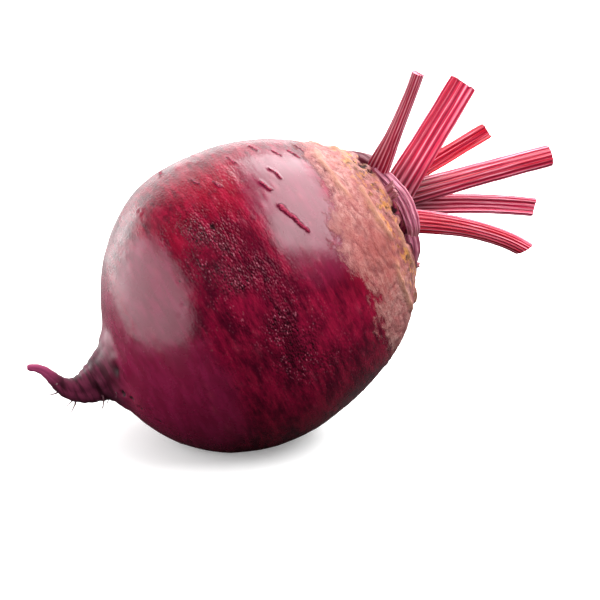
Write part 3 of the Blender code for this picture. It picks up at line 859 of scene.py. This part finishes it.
def along_stalk(tree, size, between, stretch=0.1, detail=2.0):
    """Noise drawn out along a stalk, about this size across: how far it is between two values."""
    place = add(tree, "ShaderNodeAttribute", {}, out=1, attribute_name="straight")
    place = add(tree, "ShaderNodeMapping", {"Vector": place, "Scale": (1, 1, stretch)})
    strands = add(tree, "ShaderNodeTexNoise", {"Vector": place, "Scale": 1 / size, "Detail": detail})
    return total(tree, (strands,), between=between)


def fresh_stalk():
    """Beet petiole: smooth fresh rind, saturated crimson between pale pink ribs, with a soft gloss."""
    made, tree, shader = new_material("leaf stalk, fresh cut")
    patch = along_stalk(tree, 2.6 * MM, (0.38, 0.62))
    thread = along_stalk(tree, 0.55 * MM, (0.38, 0.62), 0.03, 3)
    # One side of each stalk is painted more crimson as painted shade; the other side stays pinker as painted
    # highlight
    side = total(tree, ("edge",), between=(0.0, 0.85))
    flush = total(tree, ("flush",), (side, 0.55), ("tone", 0.4), (-0.2,))
    crimson = painted(tree, "ae0018", ("c80626", patch))
    # Pale crests: the ribs' own paler pink, partly painted highlight along each rib
    pale = (("rib",), (thread, 0.35), ("tone", 0.25), (flush, -0.55), (-0.44,))
    crest = total(tree, *pale, between=(0.10, 0.62))
    # Painted shade in the grooves between the ribs
    groove_shade = total(tree, ("rib",), between=(0.44, 0.14))
    groove_shade_depth = add(tree, "ShaderNodeMapRange", {"Value": flush, "To Min": 0.9, "To Max": 0.55})
    # Painted shade at each stalk's foot, where it stands between its neighbours, deepest in the grooves
    low = total(tree, ("share",), between=(0.52, 0.20))
    foot_shade_by_rib = add(tree, "ShaderNodeMapRange", {"Value": "rib", "To Min": 1.0, "To Max": 0.65})
    flesh = painted(tree, "9c1238", ("e08498", grains(tree, 0.9 * MM, (0.15, 0.45))))
    colour = painted(
        tree, "ca1e4e", ("e23c6c", patch), (crimson, total(tree, (flush,), (patch, 0.2))),
        ("d84a72", thread, 0.22), ("f4a0b4", crest, 0.85), ("720426", groove_shade, groove_shade_depth),
        ("220410", low, "foot_shade", foot_shade_by_rib), (flesh, "cut"),
    )
    tree.links.new(colour, shader.inputs["Base Color"])
    gloss = add(tree, "ShaderNodeMapRange", {"Value": thread, "To Min": 0.34, "To Max": 0.46})
    tree.links.new(gloss, shader.inputs["Roughness"])
    shader.inputs["IOR"].default_value = 1.42
    relief = add(tree, "ShaderNodeBump", {"Height": thread, "Distance": 0.12 * MM, "Strength": 0.8})
    tree.links.new(relief, shader.inputs["Normal"])
    return made


def path_length(foot, bend, tip):
    """How long a stalk is along its bend."""
    spots = [path_frame(foot, bend, tip, 0.0, i / 20)[0] for i in range(21)]
    return sum((b - a).length for a, b in zip(spots, spots[1:]))


stalk_finish = fresh_stalk()
for name, spec in STALKS.items():
    tip, foot_width, tip_width, thickness, facing, slope, bow, ribs, crest, groove, flush, foot_shade = spec
    foot = Vector((*STALK_FEET[name], FOOT_HEIGHT)) * MM
    tip = Vector(tip) * MM
    bend = (foot + tip) / 2 + Vector((0, 0, bow * MM))
    length = path_length(foot, bend, tip)
    reach = TAPER_SHARE * (tip - foot).length
    sizes = (foot_width * MM, tip_width * MM, thickness * MM)
    short = "petiole_" + name.split("_")[-1]
    stalk = straight_petiole(short, sizes, length, ribs, crest, groove, STALK_STEPS, reach, flush, foot_shade)
    lay_along(stalk, foot, bend, tip, math.radians(facing), length, slope)
    spots = points_of(stalk)
    spots += normals_of(stalk) * (0.10 * MM * lumps(spots, 7 * MM))[:, None]
    move_points(stalk, spots)
    stalk.data.transform(UPRIGHT_TO_TABLE)
    stalk.data.materials.append(stalk_finish)
    stalk.data.shade_smooth()
    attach(stalk, "root")
    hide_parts(name)

# Stubs: bases of older leaves round the crown's rim, torn or rotted off short and partly dried.
# Each is a low petiole whose upper end is pulled ragged; three have shrunk to sheaths that lie along the rim.

STUBS = {  # foot, length, width, thickness, lean outwards, ribs
    "leaf_stub_2": ((-10.4, -14.4), 3.2, 5.2, 1.8, 40, 6),
    "leaf_stub_5": ((16.0, -3.0), 1.8, 8.0, 2.4, 16, 7),
    "leaf_stub_6": ((13.4, 9.4), 3.2, 7.4, 2.4, 26, 7),
    "leaf_stub_7": ((-12.6, 11.4), 4.2, 8.0, 2.6, 22, 8),
}
SHEATHS = {  # line, width and thickness, ribs, redness
    "leaf_stub_1": (
        ((-19.8, 4.6, 47.4), (-19.6, 1.2, 48.2), (-18.2, -1.8, 50.3), (-15.4, -4.4, 51.8)),
        4.8, 2.8, 7, 0.9,
    ),
    "leaf_stub_3": (
        ((-17.0, -7.6, 50.6), (-13.6, -10.8, 51.6), (-10.2, -13.2, 52.2), (-6.6, -15.2, 52.4),
         (-2.8, -16.8, 51.8), (0.8, -17.2, 51.0), (3.6, -16.0, 49.8)),
        4.8, 1.6, 8, 0.12,
    ),
    "leaf_stub_4": (
        ((1.6, -16.4, 49.6), (4.8, -15.9, 49.3), (8.4, -14.8, 48.4), (12.6, -12.4, 46.8)),
        4.8, 2.0, 8, 0.0,
    ),
}
SUNK = 2  # mm of a stub that stands inside the crown
STUB_TAPER = 0.86
STUB_SLOPE = -0.2


def dry_leaf_base():
    """Dried leaf base: matt, wine to pink at its foot, tan and papery along its torn edge."""
    made, tree, shader = new_material("leaf base, dried")
    thread = along_stalk(tree, 0.7 * MM, (0.36, 0.66), 0.15)
    # Pale crests, partly painted highlight, and painted shade in the grooves between the ribs
    crest = total(tree, ("rib",), between=(0.5, 1.1))
    groove_shade = total(tree, ("rib",), between=(0.40, 0.12))
    torn = total(tree, ("share",), between=(0.75, 1.0))
    colour = painted(
        tree, "983452", ("c06884", thread), ("d89aa8", crest, 0.7), ("4c0c22", groove_shade, 0.7),
        ("52061a", "flush", 0.95), ("b07a68", torn, 0.35),
    )
    tree.links.new(colour, shader.inputs["Base Color"])
    shader.inputs["Roughness"].default_value = 0.6
    relief = add(tree, "ShaderNodeBump", {"Height": thread, "Distance": 0.2 * MM})
    tree.links.new(relief, shader.inputs["Normal"])
    return made


def crown_height(radius):
    """Height of the crown's face at this distance from the axis, in mm."""
    return float(np.interp(radius, *zip(*[(0, 51.4)] + CROWN_OUTLINE[1:])))


def wrap_along(piece, line, length):
    """Lays a stub that was modelled straight up along a line round the crown's rim, its outer face out."""
    laid = []
    for x, y, up in points_of(piece):
        share = min(max(up / length, 0.0), 1.0)
        middle = Vector(through(line, share)) * MM
        run = (Vector(through(line, share + 0.03)) - Vector(through(line, share - 0.03))).normalized()
        outward = Vector((middle.x, middle.y, 0)).normalized()
        outer = (outward - run * outward.dot(run)).normalized()
        side = run.cross(outer)
        narrowed = 0.45 + 0.55 * math.sin(math.pi * (0.12 + 0.76 * share)) ** 0.7
        laid.append(middle + side * x * narrowed + outer * y + run * (up - share * length))
    move_points(piece, np.array(laid))


stub_finish = dry_leaf_base()
for number in range(1, len(STUBS) + len(SHEATHS) + 1):
    name = "leaf_stub_" + str(number)
    if name in SHEATHS:
        line, width, thickness, ribs, flush = SHEATHS[name]
        foot, tip = Vector(line[0]) * MM, Vector(line[-1]) * MM
        steps, taper, fray = STALK_STEPS, 1.0, 0.25
    else:
        (x, y), long, width, thickness, lean, ribs = STUBS[name]
        out = Vector((x, y, 0)).normalized()
        foot = Vector((x, y, crown_height(math.hypot(x, y)) - SUNK)) * MM
        way = Vector((0, 0, 1)) * math.cos(math.radians(lean)) + out * math.sin(math.radians(lean))
        tip = foot + way * (long + SUNK) * MM
        steps, taper, fray, flush = 6, STUB_TAPER, 0.7, 0.0
    length = (tip - foot).length
    sizes = (width * MM, width * taper * MM, thickness * MM)
    label = "leaf_base_" + str(number)
    stub = straight_petiole(label, sizes, length, ribs, 0.15, 0.2, steps, length / 2, flush)
    spots = points_of(stub)
    ragged = lumps(spots * np.array([1, 1, 0.1]) + number, 1.5 * MM)
    if name == "leaf_stub_2":  # torn so that its ribs stand out as teeth
        ragged = ragged * 0.6 + (marks(stub, "rib") - 0.5) * 3.4
    spots[:, 2] += smooth(0.45, 1.0, spots[:, 2] / length) * ragged * fray * MM
    move_points(stub, spots)
    if name in SHEATHS:
        wrap_along(stub, line, length)
    else:
        lay_along(stub, foot, (foot + tip) / 2, tip, math.atan2(y, x), length, STUB_SLOPE)
    spots = points_of(stub)
    spots += normals_of(stub) * (0.22 * MM * lumps(spots, 2.6 * MM))[:, None]
    move_points(stub, spots)
    stub.data.transform(UPRIGHT_TO_TABLE)
    stub.data.materials.append(stub_finish)
    stub.data.shade_smooth()
    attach(stub, "root")
    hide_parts(name)

# Studio: a plain white floor, a big softbox above on the right, a low strip at the left, a fill in front.
# The air is white behind the root. The camera looks from the photographed side, 18 degrees above the table.

bpy.ops.object.select_all(action="DESELECT")
bpy.ops.mesh.primitive_plane_add(size=8, location=(0, 0, 0))
floor = start_piece("floor")
bpy.ops.object.mode_set(mode="EDIT")
bpy.ops.mesh.subdivide(number_cuts=6)
bpy.ops.object.mode_set(mode="OBJECT")


def backdrop_paper():
    """Matt white paper; what the root mirrors and is filled by is dark near it and white behind it."""
    made, tree, shader = new_material("backdrop paper, matt white")
    place = add(tree, "ShaderNodeTexCoord", {}, out=3)
    depth = add(tree, "ShaderNodeSeparateXYZ", {"Vector": place}, out=1)
    behind = total(tree, (depth,), between=(0.06, 0.40))
    seen = add(tree, "ShaderNodeLightPath", {}, out=0)
    colour = painted(tree, "303030", ("c8c8c8", behind), ("f0f0f0", seen))
    tree.links.new(colour, shader.inputs["Base Color"])
    lifted = add(tree, "ShaderNodeMapRange", {"Value": seen, "To Min": 0.0, "To Max": 0.22})
    shader.inputs["Emission Color"].default_value = (1, 1, 1, 1)
    tree.links.new(lifted, shader.inputs["Emission Strength"])
    shader.inputs["Roughness"].default_value = 0.9
    shader.inputs["Specular IOR Level"].default_value = 0.1
    return made


floor.data.materials.append(backdrop_paper())


def softbox(name, place, turn, width, tall, power):
    """A soft area light, which the camera itself doesn't see."""
    lamp = bpy.data.lights.new(name, "AREA")
    lamp.shape = "RECTANGLE"
    lamp.size, lamp.size_y, lamp.energy = width, tall, power
    holder = bpy.data.objects.new(name, lamp)
    holder.location = place
    holder.rotation_euler = [math.radians(angle) for angle in turn]
    holder.visible_camera = False
    bpy.context.scene.collection.objects.link(holder)
    return holder


softbox("softbox_high", (0.44, -0.04, 0.72), (0, 12, 0), 0.78, 1.48, 29.5)
softbox("softbox_left", (-0.17, 0.15, 0.062), (0, -90, 0), 0.120, 0.5, 0.60)
fill = softbox("fill_front", (0.10, -0.75, 0.35), (68, 0, 8), 0.5, 0.5, 2.4)
fill.visible_glossy = False

world = bpy.context.scene.world or bpy.data.worlds.new("world")
bpy.context.scene.world = world
world.use_nodes = True
air = world.node_tree
way = add(air, "ShaderNodeTexCoord", {}, out=0)
behind = add(air, "ShaderNodeVectorMath", {0: way, 1: (0.29, 0.94, 0.16)}, out=1, operation="DOT_PRODUCT")
glow = {"Value": behind, "From Min": 0.40, "From Max": 0.85, "To Min": 0.16, "To Max": 2.6}
glow = add(air, "ShaderNodeMapRange", glow, interpolation_type="SMOOTHSTEP")
seen = add(air, "ShaderNodeLightPath", {}, out=0)
strength = add(air, "ShaderNodeMix", {"Factor": seen, "A": glow, "B": 1.1}, data_type="FLOAT")
air.nodes["Background"].inputs["Color"].default_value = (1, 1, 1, 1)
air.links.new(strength, air.nodes["Background"].inputs["Strength"])

lens = bpy.data.cameras.new("camera")
lens.lens, lens.sensor_width = 120, 36
camera = bpy.data.objects.new("camera", lens)
camera.location = (-0.1708, -0.5230, 0.2172)
camera.rotation_euler = [math.radians(turn) for turn in (72, 0, -18)]
bpy.context.scene.collection.objects.link(camera)
bpy.context.scene.camera = camera
bpy.context.scene.view_settings.view_transform = "Standard"
